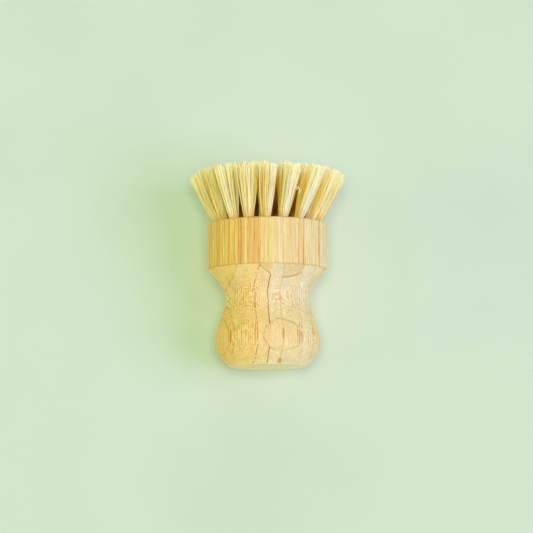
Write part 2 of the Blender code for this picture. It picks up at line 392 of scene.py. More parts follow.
def fibre_lines(inset, lean, random):
    """Centre lines of a tuft's fibres in its seat, fibre by fibre and point by point, and their tones
    with painted light and shade.
    """
    index = np.arange(FIBRES)
    share = np.sqrt((index + 0.5) / FIBRES)
    angle = index * GOLDEN_TURN + random.uniform(0, 2 * math.pi)
    spread = np.stack((share * np.cos(angle), share * np.sin(angle)), axis=1)
    clumps = spread[random.permutation(FIBRES)[:CLUMPS]]
    nearest = np.linalg.norm(spread[:, None] - clumps[None], axis=2).argmin(axis=1)
    gathered = spread + (clumps[nearest] - spread) * CLUMP_SHARE
    root = spread * (HOLE_RADIUS - inset)
    tip = gathered * TIP_REACH * (OUTWARD_SHARE, 1) + random.normal(0, TIP_JITTER, (FIBRES, 2))
    strays = random.random(FIBRES) < STRAY_SHARE
    tip[strays] += random.normal(0, STRAY_REACH, (FIBRES, 2))[strays]
    tip += lean
    uneven = random.normal(0, TIP_UNEVEN, FIBRES) + random.normal(0, CLUMP_UNEVEN, CLUMPS)[nearest]
    length = BRISTLE_LENGTH + np.minimum(uneven, TIP_LONGEST)
    bow = random.normal(0, BOW, (FIBRES, 2))
    along = np.linspace(0, 1, FIBRE_POINTS)
    lines = np.zeros((FIBRES, FIBRE_POINTS, 3))
    lines[..., 2] = FIBRE_SUNK + (length - FIBRE_SUNK)[:, None] * along
    above = np.clip(lines[..., 2] / length[:, None], 0, 1)[..., None]
    lines[..., :2] = root[:, None] + (tip - root)[:, None] * above**SPREAD_POWER
    lines[..., :2] += bow[:, None] * 4 * above * (1 - above)
    # Painted light and shade: fibres lighter on one side of their tuft, and darker at both its edges,
    # where shade falls between tufts
    tone_and_painted_light = PALER_ALL + PAINTED_LIGHT_SIDE * spread[:, 1] - PAINTED_SHADE_EDGES * spread[:, 1] ** 4
    return lines, np.clip(random.random(FIBRES) + tone_and_painted_light, 0, 1)


def tubes(lines, radii, sides):
    """Thin closed tubes round lines: their points and faces. Each line has a radius at its start."""
    count, rings, _ = lines.shape
    ahead = np.gradient(lines, axis=1)
    ahead /= np.linalg.norm(ahead, axis=2, keepdims=True)
    side = np.cross(ahead, (0, 1, 0))
    side /= np.linalg.norm(side, axis=2, keepdims=True)
    other = np.cross(ahead, side)
    turns = 2 * math.pi * np.arange(sides) / sides
    ring = side[:, :, None] * np.cos(turns)[:, None] + other[:, :, None] * np.sin(turns)[:, None]
    radius = radii[:, None] * np.linspace(1, FIBRE_TIP_SHARE, rings)
    points = (lines[:, :, None] + radius[:, :, None, None] * ring).reshape(-1, 3)
    faces = []
    for tube in range(count):
        first = tube * rings * sides
        for level in range(rings - 1):
            low = first + level * sides
            for corner in range(sides):
                after = (corner + 1) % sides
                faces.append((low + corner, low + after, low + sides + after, low + sides + corner))
        last = first + (rings - 1) * sides
        faces.append(tuple(first + corner for corner in reversed(range(sides))))
        faces.append(tuple(last + corner for corner in range(sides)))
    return points, faces


def add_values(mesh, name, values):
    """Gives each of the mesh's points a value that its material reads."""
    mesh.attributes.new(name, "FLOAT", "POINT").data.foreach_set("value", values)


def make_tuft(name, seat, root, with_anchor, way, random):
    """Loose fibres that rise from their folded root, each with a tone of its own and painted light and
    shade.
    """
    radii = FIBRE_RADIUS * random.uniform(*FIBRE_THICKNESS_SHARES, FIBRES)
    sideways, outwards, tone_and_painted_light = way
    lean = (outwards * MM, sideways * MM)
    lines, tones = fibre_lines(FIBRE_RADIUS if with_anchor else OUTER_INSET, lean, random)
    # Painted light: the tufts on the brush's right are made lighter
    tones += tone_and_painted_light + PAINTED_LIGHT_RIGHT * seat.translation.x / BLOCK_RADIUS
    points, faces = tubes(lines, radii, FIBRE_SIDES)
    tones = np.repeat(tones, FIBRE_POINTS * FIBRE_SIDES)
    root_points, root_faces = root
    faces += [tuple(index + len(points) for index in face) for face in root_faces]
    points = np.concatenate((points, root_points))
    steel_from = len(faces)
    if with_anchor:
        anchor = anchor_box("anchor")
        faces += [tuple(index + len(points) for index in face.vertices) for face in anchor.polygons]
        points = np.concatenate((points, [vertex.co for vertex in anchor.vertices]))
    mesh = mesh_from(name, points, faces)
    mesh.shade_smooth()
    mesh.set_sharp_from_angle(angle=SMOOTH_FIBRES_BELOW)
    # The root and the anchor take any tones, because they hardly show
    add_values(mesh, "tone", np.resize(tones, len(points)))
    # Painted shade: 1 for the tufts inside the outer ring, which the material paints golden and brown low
    # down
    add_values(mesh, "painted_shade_inside", np.full(len(points), float(with_anchor)))
    slots = np.zeros(len(faces), np.int32)
    slots[steel_from:] = 1
    mesh.polygons.foreach_set("material_index", slots)
    tuft = add_object(name, mesh)
    tuft.matrix_world = seat
    return tuft


def make_tufts():
    """Every tuft, ring by ring from the centre."""
    random = np.random.default_rng(SEED)
    root = make_root()
    tufts = []
    for ring_index, ring in enumerate(RING_NAMES):
        with_anchor = ring != RING_NAMES[-1]
        for number, seat in seats_of_ring(ring_index):
            name = f"fibres_{ring}_{number:02d}"
            way = (0, 0, 0) if with_anchor else OUTER_WAYS[number - 1]
            tuft = make_tuft(name, seat, root, with_anchor, way, random)
            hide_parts(f"tuft_{ring}_{number:02d}")
            tufts.append(tuft)
    return tufts


def make_curl():
    """One loose fibre that curls in front of the tufts. Its end is caught between them."""
    share = np.linspace(0, 1, CURL_POINTS)
    turn = CURL_START + 2 * math.pi * CURL_TURNS * share
    radius = CURL_RADIUS * (1 - share / 2)
    line = np.stack((radius * np.cos(turn), CURL_DEPTH * share**2, radius * np.sin(turn)), axis=1)
    line += np.array(CURL_CENTRE) + np.array((0, 0, CURL_RISE)) * (share[:, None] - 0.5)
    points, faces = tubes(line[None], np.array([CURL_THICKNESS]), FIBRE_SIDES)
    mesh = mesh_from("curled_fibre", points, faces)
    mesh.shade_smooth()
    add_values(mesh, "tone", np.ones(len(points)))
    add_values(mesh, "painted_shade_inside", np.zeros(len(points)))
    return add_object("curled_fibre", mesh)


# Materials


class Shader:
    """A material whose nodes are made and linked in short calls."""

    def __init__(self, name):
        self.material = bpy.data.materials.new(name)
        self.material.use_nodes = True
        self.tree = self.material.node_tree
        self.surface = self.tree.nodes["Principled BSDF"]

    def put(self, socket, value):
        if isinstance(value, bpy.types.NodeSocket):
            self.tree.links.new(value, socket)
        else:
            socket.default_value = value

    def node(self, kind, inputs=(), **settings):
        made = self.tree.nodes.new("ShaderNode" + kind)
        for name, value in settings.items():
            setattr(made, name, value)
        for name, value in dict(inputs).items():
            self.put(made.inputs[name], value)
        return made

    def math(self, operation, *values):
        made = self.node("Math", operation=operation)
        for socket, value in zip(made.inputs, values):
            self.put(socket, value)
        return made.outputs[0]

    def joined(self, operation, values):
        """Any number of values, joined two by two."""
        result, *others = values
        for value in others:
            result = self.math(operation, result, value)
        return result

    def plus(self, *values):
        return self.joined("ADD", values)

    def minus(self, value, less):
        return self.math("SUBTRACT", value, less)

    def times(self, *values):
        return self.joined("MULTIPLY", values)

    def most(self, *values):
        return self.joined("MAXIMUM", values)

    def distance(self, value, place):
        return self.math("ABSOLUTE", self.minus(value, place))

    def place(self):
        """The point on the object, in millimetres."""
        point = self.node("TexCoord").outputs["Object"]
        return self.scaled(point, (1 / MM, 1 / MM, 1 / MM))

    def scaled(self, point, scale):
        made = self.node("VectorMath", {0: point, 1: scale}, operation="MULTIPLY")
        return made.outputs[0]

    def along(self, point, direction):
        made = self.node("VectorMath", {0: point, 1: direction}, operation="DOT_PRODUCT")
        return made.outputs["Value"]

    def noise(self, point, scale, detail=2, roughness=0.5):
        inputs = {
            "Vector": self.scaled(point, scale),
            "Scale": 1,
            "Detail": detail,
            "Roughness": roughness,
        }
        return self.node("TexNoise", inputs).outputs["Fac"]

    def step(self, value, start, end):
        """0 up to start and 1 from end on, with a soft step between them."""
        inputs = {"Value": value, "From Min": start, "From Max": end}
        return self.node("MapRange", inputs, interpolation_type="SMOOTHSTEP").outputs["Result"]

    def spread(self, value, low, high, start=0.3, end=0.7):
        """A value that runs from low to high as the given one runs from start to end."""
        inputs = {"Value": value, "From Min": start, "From Max": end, "To Min": low, "To Max": high}
        return self.node("MapRange", inputs).outputs["Result"]

    def uneven(self, point, scale, low, high, detail=2):
        """A value that wanders between low and high."""
        return self.spread(self.noise(point, scale, detail), low, high)

    def ramp(self, factor, stops, interpolation="LINEAR"):
        made = self.node("ValToRGB", {"Fac": factor})
        ramp = made.color_ramp
        ramp.interpolation = interpolation
        while len(ramp.elements) < len(stops):
            ramp.elements.new(1)
        for element, (position, colour) in zip(ramp.elements, stops):
            element.position = position
            element.color = colour
        return made.outputs["Color"]

    def mix(self, factor, first, second, blend="MIX"):
        made = self.node("Mix", data_type="RGBA", blend_type=blend)
        for index, value in ((0, factor), (6, first), (7, second)):
            self.put(made.inputs[index], value)
        return made.outputs[2]

    def tinted(self, colour, tint):
        return self.mix(1.0, colour, tint, "MULTIPLY")

    def toned(self, colour, value, low, high, start=0.3, end=0.7):
        """The colour made darker or lighter as a pattern runs from start to end."""
        return self.tinted(colour, self.spread(value, low, high, start, end))

    def stain_and_painted_shade(self, colour, where, stain):
        """The colour, with a stain or a painted shade where a pattern is 1. A stain is (how far it shows,
        its colour).
        """
        strength, stain_colour = stain
        return self.mix(self.times(where, strength), colour, srgb(*stain_colour))

    def bump(self, height, distance):
        inputs = {"Height": height, "Distance": distance, "Strength": 1.0}
        self.put(self.surface.inputs["Normal"], self.node("Bump", inputs).outputs["Normal"])

    def finish(self, colour, roughness, **values):
        self.put(self.surface.inputs["Base Color"], colour)
        self.put(self.surface.inputs["Roughness"], roughness)
        for name, value in values.items():
            self.surface.inputs[name.replace("_", " ")].default_value = value
        return self.material


# In the materials a bare length is in millimetres, a turn in degrees and a colour in levels of 0 to 255.
# The three numbers of a noise say how fast it changes sideways, from front to back, and upwards.
# The two numbers of a pattern say where it is absent and where it is full.
# The numbers of tones are the darkest and the palest share, and the noise at which each is reached.

# How far the strips of wood reach to both sides of the axis
STRIP_SPAN = 26.0
WOOD_ROUGHNESS = (0.54, 0.64)


def facing(turn):
    """The level direction that lies so many degrees round from the front, positive to the right."""
    return (math.sin(math.radians(turn)), -math.cos(math.radians(turn)), 0)


def strip_colours(shader, across, strips):
    """Laminated strips side by side: (where each starts, its colour)."""
    position = shader.spread(across, 0, 1, -STRIP_SPAN, STRIP_SPAN)
    stops = [((start + STRIP_SPAN) / (2 * STRIP_SPAN), srgb(*colour)) for start, colour in strips]
    return shader.ramp(position, stops, "CONSTANT")


def seam_lines(shader, across, seams, breaks):
    """1 on a glue line. Each seam is (where it lies, its half width, how far it shows)."""
    lines = []
    for place, width, strength in seams:
        line = shader.step(shader.distance(across, place), width, width / 3)
        lines.append(shader.times(line, strength))
    return shader.times(shader.most(*lines), breaks)


# Handle: the way that its glue planes face, and the strips of bamboo from left to right across them
STRIPS_TURN = 108
# The strips' colours are partly their own and partly painted light: painted shade, golden, on the left
# and painted sheen, cream, on the right
HANDLE_STRIPS_AND_PAINTED_LIGHT = (
    (-26.0, (248, 211, 124)),
    (-18.5, (246, 214, 144)),
    (-10.65, (241, 216, 158)),
    (-5.55, (235, 221, 175)),
    (-0.4, (234, 222, 174)),
    (8.7, (238, 229, 186)),
    (14.5, (240, 227, 174)),
    (20.0, (240, 222, 158)),
)
# How the colour changes up the handle, partly the wood's tone and partly painted light, with a painted
# highlight, paler and bluer, high on the waist and on the shoulder: (height, share of each colour)
TINTS_AND_PAINTED_LIGHT = (
    (0, (1.07, 1.04, 0.97)),
    (8.0, (1.04, 1.02, 0.93)),
    (12.5, (0.965, 0.96, 0.84)),
    (19.0, (0.985, 0.98, 0.81)),
    (27.0, (0.99, 0.985, 0.95)),
    (34.0, (1.03, 1.05, 1.13)),
    (39.0, (1.03, 1.05, 1.08)),
    (43.0, (1.0, 1.01, 1.0)),
)
# Painted light: the end face, which faces the table, made lighter and warmer
END_FACE_PAINTED_LIGHT = (1.08, 1.05, 0.94, 1)
FINE_SEAMS = ((-18.5, 0.2, 0.45), (8.7, 0.18, 0.4), (14.5, 0.2, 0.5), (20.0, 0.2, 0.5))
DOTTED_SEAM = (-10.65, 0.24, 0.9)
INNER_SEAM = (-5.55, 0.28, 1.0)
ORANGE_SEAM = (-0.4, 0.3, 0.42)
# Where the orange seam widens, and where the vessels are darkest: the place across, the middle height,
# half width and half length, and how far it shows
SPINDLES = (
    (-0.4, 12.0, 0.46, 3.4, 1.0),
    (-0.4, 27.5, 0.55, 3.6, 0.5),
    (-0.4, 0.9, 1.15, 1.7, 0.85),
)
DARK_VESSELS = (
    (-15.7, 12.8, 1.3, 5.0, 0.9),
    (-4.9, 13.2, 1.0, 5.0, 0.8),
    (13.3, 12.8, 1.3, 5.2, 1.0),
    (18.8, 12.5, 0.9, 3.6, 0.8),
)
# Planes along the axis where one layer of bamboo meets the next: the way that they face, in degrees
# round from the front, and their distance from the axis
RIMMED_LAYERS = ((17.9, 20.35), (-72, 19.8), (112, 20.4), (-128, 20.5), (160, 20.2))
PLAIN_LAYERS = ((-27.7, 20.9), (59, 21.65), (-165, 20.6))
WAIST_LAYERS = ((-34, 16.9), (50, 17.2), (104, 17.2), (-112, 17.3), (158, 17.3))
# Darker patches high on the shoulder: the strip that each lies in, from and to, the way that its plane
# faces and its distance from the axis
SHOULDER_PATCHES = ((-10.65, -5.55, 32, 18.55), (-0.4, 8.7, 18.9, 20.4))

STRIP_WOBBLE = (0.16, 0.16, 0.12)
WOOD_CLOUDS = (0.25, 0.25, 0.08)
WOOD_GRAIN = (2.6, 2.6, 0.2)
LAYER_WAVER = (0.15, 0.15, 0.15)
STROKE_JITTER = (0.9, 0.9, 0.06)
STROKE_BREAKS = (1.6, 1.6, 0.35)
ARC_RIPPLE = (0.9, 0.9, 0.35)
ARC_CLOUDS = (0.35, 0.35, 0.35)
GLUE_BREAKS = (0.3, 0.3, 0.9)
GLUE_DOTS = (0.5, 0.5, 1.1)

WOOD_CLOUD_TONES = (0.93, 1.04)
WOOD_GRAIN_TONES = (0.9, 1.06, 0.42, 0.58)

ABOVE_SHOULDER = (34.0, 34.5)
BELOW_SHOULDER = (34.0, 33.0)
WAIST_FROM = (21, 25)
WAIST_UP_TO = (36, 31)
ROUND_THE_SIDE = (0.1, 0.6)
STRIP_EDGE = 0.1
PATCH_INSIDE = (-0.05, 0.1)
PATCH_EDGE = (0.3, 0.08)
OVAL_INSIDE = (0.0, 0.15)
OVAL_RIM = (0.24, 0.04)
OVAL_VESSELS = (0, 0.3)
PLAIN_VESSELS = (-0.5, 0.0)
WAIST_VESSELS = (-0.1, 0.25)
RING_FROM = (0.2, 0.35)
RING_UP_TO = (0.9, 0.6)
RING_RIGHT = (9, 12)
STROKES = (0.0, 0.8)
ARCS = (0.0, 1.0)
ARCS_FROM = (-4.6, -2.4)
ARCS_UP_TO = (0.5, 0.0)
DOT_NOISE = (0.42, 0.54)
INNER_SEAM_UP_TO = (0.1, 0.0)
# How fast strokes and arcs follow each other, in radians to the millimetre
STROKE_PACE = 6.8
ARC_PACE = 18.0
# How strong vessels and arcs are on the left and on the right, and between which places this changes
FADING = (1.0, 0.6, -5, 7)
# How many of the vessels show: outside and inside the open layers, in the ovals and in the patches
VESSEL_SHARES = (0.04, 0.72)
OVAL_SHARE = 0.5
PATCH_SHARE = 0.4
# How far rims and edges show, and glue lines on the end face and on the side
RIM_STRENGTH = 0.36
EDGE_STRENGTH = 0.5
LINE_STRENGTHS = (0.25, 0.85)
WOOD_RELIEF = 0.03 * MM
VESSEL_RELIEF_SHARE = 0.5

# Stains: (how far each shows, its colour)
PATCH_STAIN = (0.35, (228, 188, 120))
OVAL_STAIN = (0.32, (230, 192, 118))
VESSEL_STAIN = (1.0, (206, 150, 50))
DARK_VESSEL_STAIN = (0.75, (186, 120, 34))
ARC_STAIN = (1.0, (208, 158, 60))
GLUE_STAIN = (1.0, (156, 98, 32))
ORANGE_STAIN = (0.85, (196, 136, 34))


def beyond_layers(shader, point, layers, waver):
    """How far a point lies outside the nearest of the layers' planes, which waver a little."""
    past = [shader.minus(shader.along(point, facing(turn)), distance) for turn, distance in layers]
    return shader.plus(shader.most(*past), waver)


def shoulder_patches(shader, point, across, height, waver):
    """Each patch's inside and its lower edge."""
    above = shader.step(height, *ABOVE_SHOULDER)
    patches = []
    edges = []
    for start, end, turn, distance in SHOULDER_PATCHES:
        past = beyond_layers(shader, point, [(turn, distance)], waver)
        after_start = shader.step(across, start, start + STRIP_EDGE)
        before_end = shader.step(across, end, end - STRIP_EDGE)
        strip = shader.times(after_start, before_end, above)
        patches.append(shader.times(strip, shader.step(past, *PATCH_INSIDE)))
        edges.append(shader.times(strip, shader.step(shader.distance(past, 0), *PATCH_EDGE)))
    return shader.most(*patches), shader.most(*edges)


def lenses(shader, across, height, table):
    """Long upright lenses that show most in their middle."""
    found = []
    for place, middle, half_width, half_length, strength in table:
        up = shader.math("DIVIDE", shader.minus(height, middle), half_length)
        out = shader.math("DIVIDE", shader.minus(across, place), half_width)
        distance = shader.plus(shader.times(up, up), shader.times(out, out))
        found.append(shader.times(shader.step(distance, 1.0, 0.3), strength))
    return shader.most(*found)


def vessel_strokes(shader, point, sideways):
    """Upright strokes side by side, broken along their length."""
    jitter = shader.uneven(point, STROKE_JITTER, -1.2, 1.2, 1)
    rows = shader.math("SINE", shader.plus(shader.times(sideways, STROKE_PACE), jitter))
    breaks = shader.uneven(point, STROKE_BREAKS, -1.6, 1.2, 3)
    return shader.step(shader.plus(rows, breaks), *STROKES)


def growth_arcs(shader, point, beyond):
    """Arcs that follow the layers where the turned surface slopes away from them."""
    ripple = shader.uneven(point, ARC_RIPPLE, -1.8, 1.8)
    arcs = shader.math("SINE", shader.plus(shader.times(beyond, ARC_PACE), ripple))
    near = shader.times(shader.step(beyond, *ARCS_FROM), shader.step(beyond, *ARCS_UP_TO))
    return shader.times(shader.step(arcs, *ARCS), near, shader.uneven(point, ARC_CLOUDS, 0.25, 0.9))


def bamboo():
    """Laminated bamboo, turned: strips, glue lines, layers cut open as ovals, short dark vessels, and
    painted light: sheen on the right, a highlight high up and a lighter end face.
    """
    shader = Shader("bamboo_strips")
    point = shader.place()
    height = shader.along(point, (0, 0, 1))
    sideways = shader.along(point, (1, 0, 0))
    wobble = shader.uneven(point, STRIP_WOBBLE, -0.35, 0.35)
    across = shader.plus(shader.along(point, facing(STRIPS_TURN)), wobble)
    colour = strip_colours(shader, across, HANDLE_STRIPS_AND_PAINTED_LIGHT)
    # Painted highlight: paler and bluer high on the waist and on the shoulder
    top, _ = TINTS_AND_PAINTED_LIGHT[-1]
    stops = [(at / top, (*tint, 1)) for at, tint in TINTS_AND_PAINTED_LIGHT]
    colour = shader.tinted(colour, shader.ramp(shader.spread(height, 0, 1, 0, top), stops))
    colour = shader.toned(colour, shader.noise(point, WOOD_CLOUDS, 3), *WOOD_CLOUD_TONES)
    grain = shader.noise(point, WOOD_GRAIN, 3, 0.6)
    colour = shader.toned(colour, grain, *WOOD_GRAIN_TONES)

    # Layers that the turning cut open
    waver = shader.uneven(point, LAYER_WAVER, -0.22, 0.22)
    rimmed = beyond_layers(shader, point, RIMMED_LAYERS, waver)
    plain = beyond_layers(shader, point, PLAIN_LAYERS, waver)
    waist = beyond_layers(shader, point, WAIST_LAYERS, waver)
    below = shader.step(height, *BELOW_SHOULDER)
    patches, patch_edges = shoulder_patches(shader, point, across, height, waver)
    colour = shader.stain_and_painted_shade(colour, patches, PATCH_STAIN)
    ovals = shader.times(shader.step(rimmed, *OVAL_INSIDE), below)
    colour = shader.stain_and_painted_shade(colour, ovals, OVAL_STAIN)

    # Vessels, dense in the open layers and round the rims of the ovals on the right
    fading = shader.spread(sideways, *FADING)
    plain_share = shader.times(shader.step(plain, *PLAIN_VESSELS), below)
    oval_share = shader.times(shader.step(rimmed, *OVAL_VESSELS), OVAL_SHARE)
    bulge_share = shader.times(shader.most(plain_share, oval_share), below)
    waist_heights = shader.times(shader.step(height, *WAIST_FROM), shader.step(height, *WAIST_UP_TO))
    waist_share = shader.times(shader.step(waist, *WAIST_VESSELS), waist_heights)
    ring = shader.times(shader.step(rimmed, *RING_FROM), shader.step(rimmed, *RING_UP_TO))
    ring = shader.times(ring, below, shader.step(sideways, *RING_RIGHT))
    dense = shader.times(shader.most(bulge_share, waist_share), fading)
    dense = shader.most(dense, ring, shader.times(patches, PATCH_SHARE))
    vessels = vessel_strokes(shader, point, sideways)
    dashes = shader.times(vessels, shader.spread(dense, *VESSEL_SHARES, 0, 1))
    colour = shader.stain_and_painted_shade(colour, dashes, VESSEL_STAIN)
    darkest = shader.times(vessels, lenses(shader, sideways, height, DARK_VESSELS))
    colour = shader.stain_and_painted_shade(colour, darkest, DARK_VESSEL_STAIN)
    arcs = growth_arcs(shader, point, shader.most(rimmed, plain))
    colour = shader.stain_and_painted_shade(colour, shader.times(arcs, fading), ARC_STAIN)

    # Glue lines
    breaks = shader.uneven(point, GLUE_BREAKS, 0.1, 1.3, 3)
    dots = shader.step(shader.noise(point, GLUE_DOTS), *DOT_NOISE)
    outside = shader.step(rimmed, *INNER_SEAM_UP_TO)
    rims = shader.step(shader.distance(rimmed, 0), *OVAL_RIM)
    lines = shader.most(
        seam_lines(shader, across, FINE_SEAMS, breaks),
        seam_lines(shader, across, [DOTTED_SEAM], dots),
        seam_lines(shader, across, [INNER_SEAM], outside),
        shader.times(rims, below, breaks, RIM_STRENGTH),
        shader.times(patch_edges, EDGE_STRENGTH),
    )
    round_the_side = shader.step(height, *ROUND_THE_SIDE)
    lines = shader.times(lines, shader.spread(round_the_side, *LINE_STRENGTHS, 0, 1))
    colour = shader.stain_and_painted_shade(colour, lines, GLUE_STAIN)
    orange = seam_lines(shader, across, [ORANGE_SEAM], 1.0)
    orange = shader.most(orange, lenses(shader, across, height, SPINDLES))
    colour = shader.stain_and_painted_shade(colour, shader.times(orange, round_the_side), ORANGE_STAIN)
    # Painted light on the end face
    colour = shader.mix(round_the_side, shader.tinted(colour, END_FACE_PAINTED_LIGHT), colour)

    carved = shader.plus(lines, shader.times(dashes, VESSEL_RELIEF_SHARE))
    shader.bump(shader.minus(grain, carved), WOOD_RELIEF)
    return shader.finish(colour, shader.spread(grain, *WOOD_ROUGHNESS), Specular_IOR_Level=0.3)


# Head block: strips from left to right, and the dark and the pale lines between and in them, each with
# its half width and how far it shows
# The strips' colours are partly their own and partly painted light: painted shade, golden, on the left
# and painted sheen, cream, on the right
HEAD_STRIPS_AND_PAINTED_LIGHT = (
    (-26.0, (240, 204, 113)),
    (-12.2, (233, 193, 107)),
    (-9.6, (238, 209, 128)),
    (-8.0, (228, 190, 113)),
    (-2.8, (229, 209, 138)),
    (2.7, (229, 212, 151)),
    (8.3, (226, 208, 147)),
    (15.0, (231, 219, 161)),
    (21.5, (240, 234, 178)),
)
HEAD_LINES = (
    (-21.1, 0.24, 0.6),
    (-17.9, 0.2, 0.5),
    (-16.2, 0.28, 0.8),
    (-13.8, 0.24, 0.6),
    (-12.1, 0.26, 0.8),
    (-11.1, 0.32, 1.0),
    (-8.0, 0.3, 1.0),
    (-5.5, 0.26, 0.6),
    (-3.8, 0.26, 0.7),
    (6.3, 0.22, 0.5),
    (13.0, 0.24, 0.75),
    (15.0, 0.28, 1.0),
    (18.4, 0.22, 0.6),
    (21.5, 0.28, 0.9),
)
PALE_LINES = (
    (-9.0, 0.36, 0.5),
    (-2.5, 0.28, 0.5),
    (2.4, 0.22, 0.45),
    (4.8, 0.26, 0.55),
    (20.7, 0.28, 0.6),
)
# Glue planes across the others, which show on the disc's two sides
CROSS_LINES = (
    (-17.5, 0.3, 0.7),
    (-9.0, 0.3, 0.6),
    (-1.2, 0.3, 0.75),
    (7.4, 0.3, 0.6),
    (15.2, 0.3, 0.7),
)
CROSS_LINES_FROM = (21.8, 22.6)

HEAD_WOBBLE = (0.2, 0.2, 0.06)
HEAD_CLOUDS = (0.5, 0.5, 0.02)
FINE_STRIPES = (1.9, 1.9, 0.035)
DARK_STRIPES = (1.7, 1.7, 0.05)
SHORT_STRIPES = (3.0, 3.0, 0.12)
HEAD_BREAKS = (0.6, 0.6, 0.2)
HEAD_CLOUD_TONES = (0.96, 1.03)
FINE_STRIPE_TONES = (0.95, 1.04, 0.44, 0.54)

STREAK_NOISE = (0.52, 0.44)
DARK_NOISE = (0.53, 0.62)
SHORT_NOISE = (0.58, 0.68)
# How far the streaks show on the left and on the right, and between which places this changes
STREAKS_LEFT = (0.6, 0, -16, -2)

STREAK_STAIN = (1.0, (208, 162, 72))
DARK_STAIN = (0.6, (222, 168, 76))
SHORT_STAIN = (0.5, (208, 150, 60))
PALE_STAIN = (1.0, (252, 236, 178))
HEAD_GLUE_STAIN = (0.85, (200, 136, 58))
HEAD_RELIEF = 0.04 * MM


def head_bamboo():
    """Bamboo on end: fine upright stripes all round the disc, and vessels as dots on its faces."""
    shader = Shader("bamboo_head_strips")
    point = shader.place()
    sideways = shader.along(point, (1, 0, 0))
    wobble = shader.uneven(point, HEAD_WOBBLE, -0.2, 0.2)
    across = shader.plus(sideways, wobble)
    colour = strip_colours(shader, across, HEAD_STRIPS_AND_PAINTED_LIGHT)
    colour = shader.toned(colour, shader.noise(point, HEAD_CLOUDS), *HEAD_CLOUD_TONES)
    fine = shader.noise(point, FINE_STRIPES, 2, 0.6)
    colour = shader.toned(colour, fine, *FINE_STRIPE_TONES)
    left = shader.spread(sideways, *STREAKS_LEFT)
    streaks = shader.times(shader.step(fine, *STREAK_NOISE), left)
    colour = shader.stain_and_painted_shade(colour, streaks, STREAK_STAIN)
    dark = shader.step(shader.noise(point, DARK_STRIPES, 2, 0.6), *DARK_NOISE)
    colour = shader.stain_and_painted_shade(colour, dark, DARK_STAIN)
    short = shader.step(shader.noise(point, SHORT_STRIPES), *SHORT_NOISE)
    colour = shader.stain_and_painted_shade(colour, short, SHORT_STAIN)

    # Lines between the strips
    breaks = shader.uneven(point, HEAD_BREAKS, 0.35, 1.25)
    pale = seam_lines(shader, across, PALE_LINES, breaks)
    colour = shader.stain_and_painted_shade(colour, pale, PALE_STAIN)
    back = shader.plus(shader.along(point, (0, 1, 0)), wobble)
    on_sides = shader.step(shader.distance(sideways, 0), *CROSS_LINES_FROM)
    crossing = shader.times(seam_lines(shader, back, CROSS_LINES, breaks), on_sides)
    seams = shader.most(seam_lines(shader, across, HEAD_LINES, breaks), crossing)
    colour = shader.stain_and_painted_shade(colour, seams, HEAD_GLUE_STAIN)
    shader.bump(shader.minus(fine, seams), HEAD_RELIEF)
    return shader.finish(colour, shader.spread(fine, *WOOD_ROUGHNESS), Specular_IOR_Level=0.25)


# Fibre: (tone, its colour), from the darkest to the palest
FIBRE_TONES = (
    (0, (222, 174, 52)),
    (0.12, (242, 206, 88)),
    (0.3, (252, 236, 144)),
    (0.65, (255, 249, 188)),
    (1, (255, 254, 236)),
)
# How far the pale stain and each painted shade show low and high on the fibres, and the heights at which
# these are reached
PALE_TIPS = (0, 0.5, 16, 23)
# Painted shade: the tufts inside the outer ring golden, and brown lower down, where shade falls between
# the tufts
GOLDEN_PAINTED_SHADE = (0.9, 0, 14, 19)
BROWN_PAINTED_SHADE = (0.97, 0, 6, 15)
# Painted shade at the foot of every fibre, next to the head's face
FOOT_PAINTED_SHADE = (0.5, 0, 0, 5)
TIP_STAIN = (1.0, (255, 253, 212))
# Colours of the painted shade on the inner tufts
GOLDEN_SHADE_COLOUR = (1.0, (250, 190, 44))
BROWN_SHADE_COLOUR = (1.0, (146, 84, 10))
# Colour of the painted shade at the foot
FOOT_SHADE_COLOUR = (1.0, (224, 176, 82))
FIBRE_STREAKS = (3, 3, 0.4)
FIBRE_TONE_SHARES = (0.95, 1.0)
FIBRE_ROUGHNESS = (0.5, 0.62)
FIBRE_RELIEF = 0.02 * MM


def plant_fibre():
    """Dry plant fibre: each its own straw tone, pale towards the tip, with painted shade on the inner
    tufts low down and at every fibre's foot.
    """
    shader = Shader("straw_fibre")
    point = shader.place()
    height = shader.along(point, (0, 0, 1))
    # Each fibre's tone holds painted light and shade besides its own tone
    tone = shader.node("Attribute", attribute_name="tone").outputs["Fac"]
    painted_shade_inside = shader.node("Attribute", attribute_name="painted_shade_inside").outputs["Fac"]
    colour = shader.ramp(tone, shades(FIBRE_TONES))
    colour = shader.stain_and_painted_shade(colour, shader.spread(height, *PALE_TIPS), TIP_STAIN)
    # Painted shade: the inner tufts golden, and brown lower down
    golden_painted_shade = shader.times(painted_shade_inside, shader.spread(height, *GOLDEN_PAINTED_SHADE))
    colour = shader.stain_and_painted_shade(colour, golden_painted_shade, GOLDEN_SHADE_COLOUR)
    brown_painted_shade = shader.times(painted_shade_inside, shader.spread(height, *BROWN_PAINTED_SHADE))
    colour = shader.stain_and_painted_shade(colour, brown_painted_shade, BROWN_SHADE_COLOUR)
    # Painted shade: every fibre golden at its foot
    colour = shader.stain_and_painted_shade(colour, shader.spread(height, *FOOT_PAINTED_SHADE), FOOT_SHADE_COLOUR)
    streaks = shader.noise(point, FIBRE_STREAKS, 3)
    colour = shader.toned(colour, streaks, *FIBRE_TONE_SHARES)
    shader.bump(streaks, FIBRE_RELIEF)
    return shader.finish(colour, shader.spread(streaks, *FIBRE_ROUGHNESS), Specular_IOR_Level=0.2)


